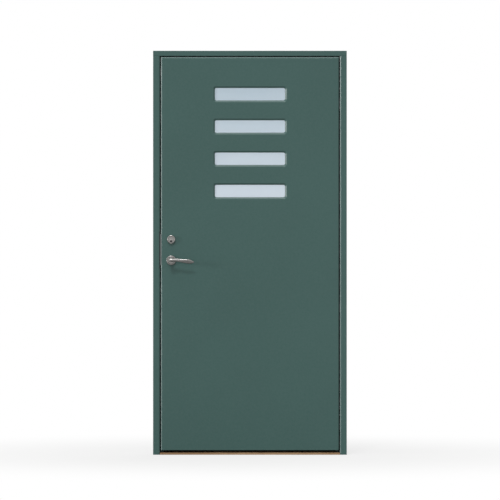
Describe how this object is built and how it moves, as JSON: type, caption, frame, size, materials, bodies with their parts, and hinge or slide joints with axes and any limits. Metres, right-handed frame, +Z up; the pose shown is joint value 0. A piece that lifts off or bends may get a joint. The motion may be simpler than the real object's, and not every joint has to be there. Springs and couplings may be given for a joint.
{
  "type": "entrance door with frame",
  "caption": "Flush green entrance door with a column of slot windows, lever handle and round lock, hung in a rebated frame over an oak threshold and opening outwards.",
  "frame": {"origin": "on the ground under the threshold, at the middle of the frame's width and depth", "axes": "+X to the right seen from outside, +Y from outside to inside, +Z up"},
  "size_m": [0.99, 0.171, 2.065],
  "materials": {
    "frame_paint": "satin painted timber",
    "leaf_paint": "satin painted board",
    "oak": "oiled oak",
    "core": "rigid insulating foam",
    "seal": "matt black",
    "satin_glass": "satin frosted",
    "spacer": "mill",
    "nickel": "satin nickel",
    "steel": "brushed, dull",
    "hinge_zinc": "black zinc plated"
  },
  "bodies": {
    "frame": {"lock_jamb": "frame_paint", "hinge_jamb": "frame_paint", "frame_head": "frame_paint", "threshold": "oak", "frame_seal": "seal", "threshold_seal": "seal", "strike_plate": "hinge_zinc", "frame_hinge_lower": "hinge_zinc", "frame_hinge_middle": "hinge_zinc", "frame_hinge_upper": "hinge_zinc"},
    "leaf": {"bottom_rail": "leaf_paint", "cylinder_ring": "nickel", "hinge_stile": "leaf_paint", "inner_rose": "nickel", "inner_skin": "leaf_paint", "inner_trim_1": "leaf_paint", "inner_trim_2": "leaf_paint", "inner_trim_3": "leaf_paint", "inner_trim_4": "leaf_paint", "inside_turn": "nickel", "insulation_core": "core", "leaf_hinge_lower": "hinge_zinc", "leaf_hinge_middle": "hinge_zinc", "leaf_hinge_upper": "hinge_zinc", "lock_bolts": "steel", "lock_case": "steel", "lock_cylinder": "nickel", "lock_faceplate": "steel", "lock_stile": "leaf_paint", "outer_rose": "nickel", "outer_skin": "leaf_paint", "outer_trim_1": "leaf_paint", "outer_trim_2": "leaf_paint", "outer_trim_3": "leaf_paint", "outer_trim_4": "leaf_paint", "top_rail": "leaf_paint", "turn_ring": "nickel", "window_1": "satin_glass", "window_2": "satin_glass", "window_3": "satin_glass", "window_4": "satin_glass", "window_spacers": "spacer"},
    "handle": {"outer_lever": "nickel", "inner_lever": "nickel", "spindle": "steel"},
    "hinge_links": {"hinge_link_lower": "hinge_zinc", "hinge_link_middle": "hinge_zinc", "hinge_link_upper": "hinge_zinc"}
  },
  "joints": [
    {"name": "leaf_swing", "type": "hinge", "parent": "frame", "child": "leaf", "pos_m": [0.4575, -0.0615, 1.03], "axis": [0, 0, 1], "range_deg": [0, 95]},
    {"name": "hinge_fold", "type": "hinge", "parent": "frame", "child": "hinge_links", "pos_m": [0.4575, -0.0615, 1.03], "axis": [0, 0, 1], "range_deg": [0, 47.5]},
    {"name": "lever_turn", "type": "hinge", "parent": "leaf", "child": "handle", "pos_m": [-0.4025, -0.0575, 0.994], "axis": [0, 1, 0], "range_deg": [0, 45], "stiffness_Nm_per_rad": 1.5, "springref_deg": -34.38}
  ],
  "couplings": [
    {"joint": "hinge_fold", "follows": "leaf_swing", "ratio": 0.5}
  ]
}
